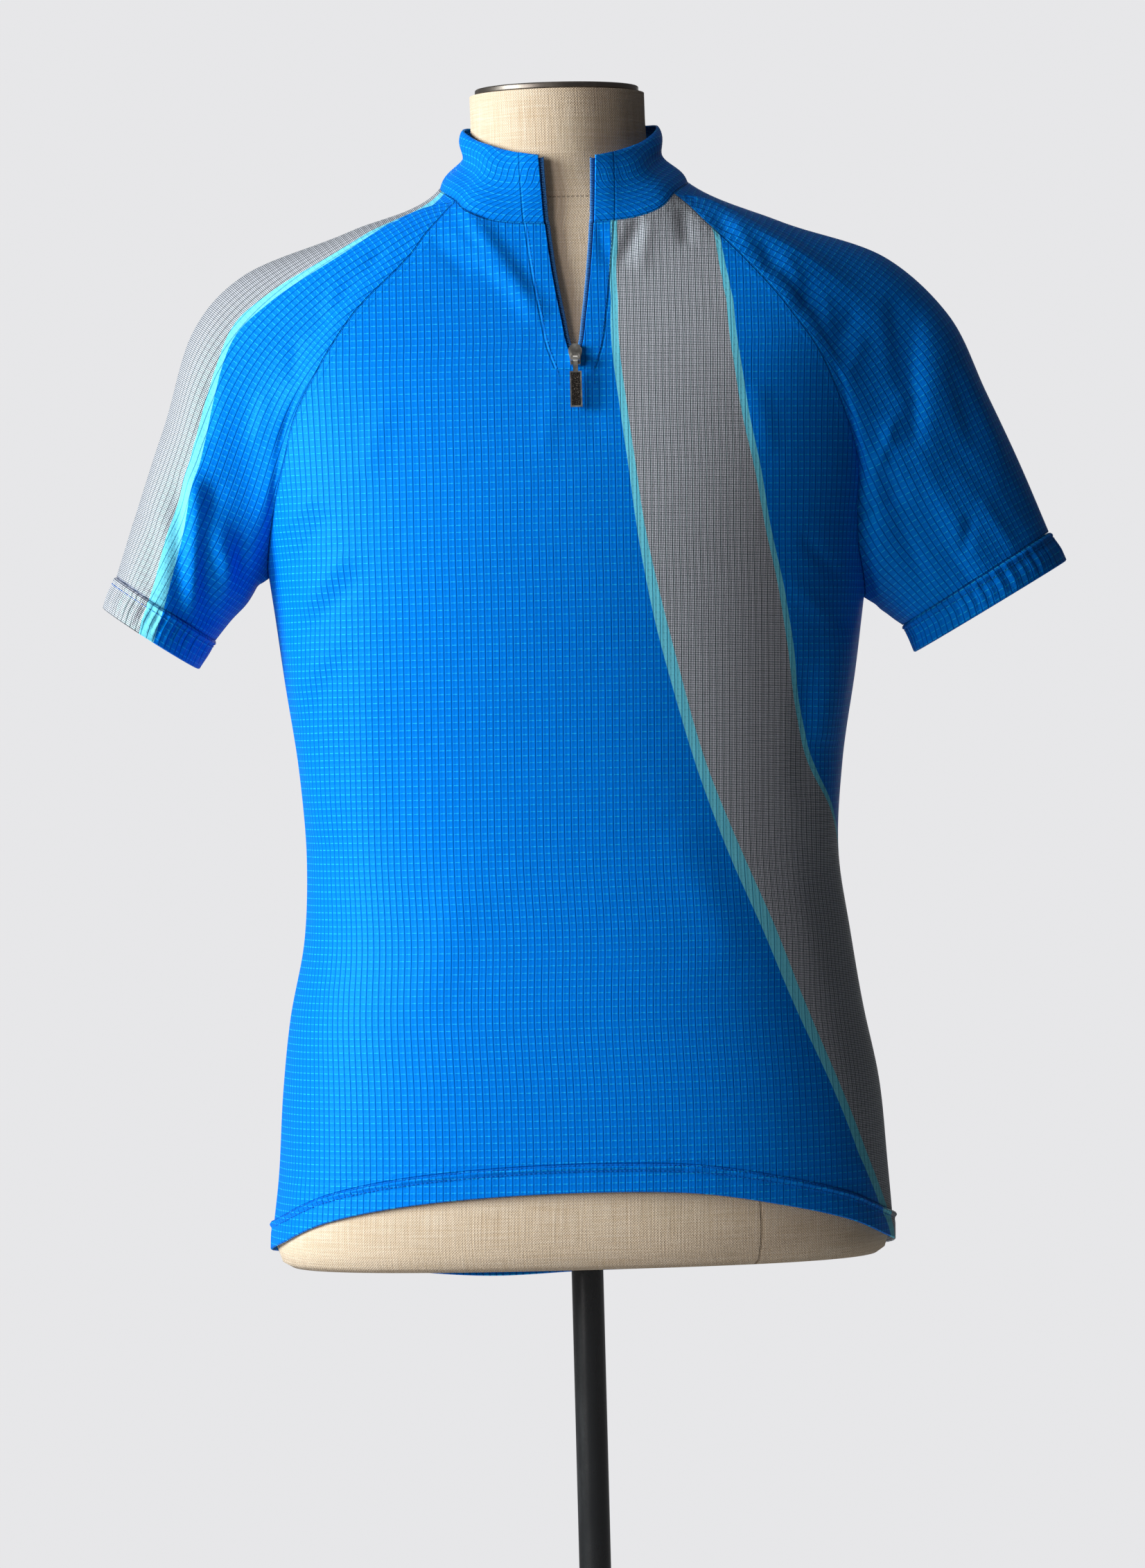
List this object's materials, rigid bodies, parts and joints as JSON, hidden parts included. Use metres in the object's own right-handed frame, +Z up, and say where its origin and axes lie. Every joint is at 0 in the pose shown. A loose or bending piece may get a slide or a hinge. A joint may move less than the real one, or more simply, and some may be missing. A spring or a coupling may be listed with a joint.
{
  "type": "short-sleeved sports jersey (t-shirt) on a dress form with stand",
  "caption": "Short-sleeved raglan sports jersey with a stand collar and an open quarter zip, worn by a limbless dress form on a pole and a round base.",
  "frame": {"origin": "centre of the base plate's underside", "axes": "+Z up along the pole, front of the jersey faces -Y, +X to the viewer's right"},
  "size_m": [0.6183, 0.38, 1.5313],
  "materials": {
    "blue": "knitted polyester with a fine grid, satin",
    "tape": "woven zip tape with a nylon coil",
    "metal": "plated die casting",
    "linen": "plain woven linen",
    "cap": "dark brushed",
    "black": "gloss black lacquer"
  },
  "bodies": {
    "jersey_and_form": {"front_panel": "blue", "back_panel": "blue", "hem_front": "blue", "hem_back": "blue", "sleeve_left": "blue", "sleeve_right": "blue", "cuff_left": "blue", "cuff_right": "blue", "collar": "blue", "zip_tape_left": "tape", "zip_tape_right": "tape", "zip_slider": "metal", "form_body": "linen", "neck_cap": "cap", "pole": "black", "pole_socket": "black", "base_plate": "black"},
    "pull_tab_body": {"pull_tab": "metal"}
  },
  "joints": [
    {"name": "pull_tab_hinge", "type": "hinge", "parent": "jersey_and_form", "child": "pull_tab_body", "pos_m": [0.00731, -0.105, 1.35279], "axis": [-1, 0, 0], "range_deg": [0, 150]}
  ]
}
